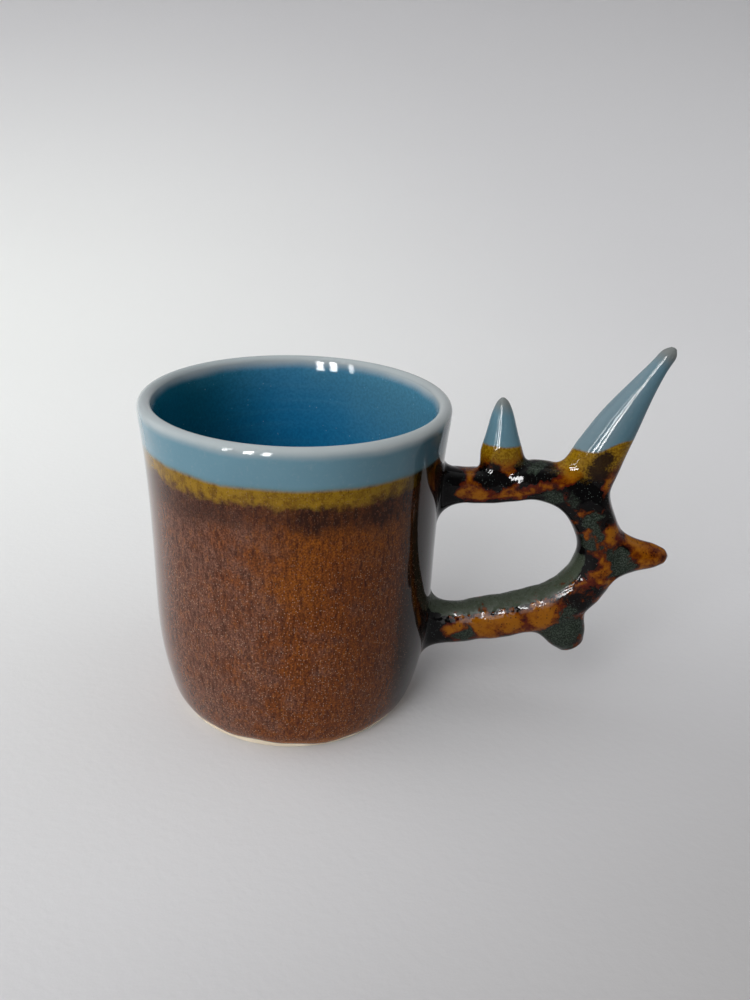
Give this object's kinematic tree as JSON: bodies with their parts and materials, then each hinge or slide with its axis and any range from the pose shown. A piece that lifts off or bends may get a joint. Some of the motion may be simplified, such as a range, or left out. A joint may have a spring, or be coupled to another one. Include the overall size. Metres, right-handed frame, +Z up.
{
  "type": "drinking mug",
  "caption": "Thrown stoneware drinking mug with a loop handle that carries rolled clay thorns, glazed inside, at the rim and on the wall.",
  "frame": {"origin": "centre of the foot ring's underside, on the surface that the mug stands on", "axes": "+Z up along the cup's axis, +X out along the handle, +Y to the left when looking along +X"},
  "size_m": [0.15, 0.085, 0.1109],
  "materials": {
    "bare_stoneware": "bare fired clay, matt",
    "blue_glaze": "glossy blue-grey glaze",
    "brown_glaze": "glossy mottled rust-brown glaze",
    "amber_glaze": "glossy amber glaze with dark pools"
  },
  "bodies": {
    "root": {"cup_body": "bare_stoneware", "liner_glaze": "blue_glaze", "rim_glaze": "blue_glaze", "wall_glaze": "brown_glaze", "handle_bow": "amber_glaze", "upper_root_collar": "amber_glaze", "lower_root_collar": "amber_glaze", "short_thorn": "amber_glaze", "long_thorn": "amber_glaze", "side_thorn": "amber_glaze", "lower_thorn": "amber_glaze", "short_thorn_cap": "blue_glaze", "long_thorn_cap": "blue_glaze"}
  },
  "joints": []
}
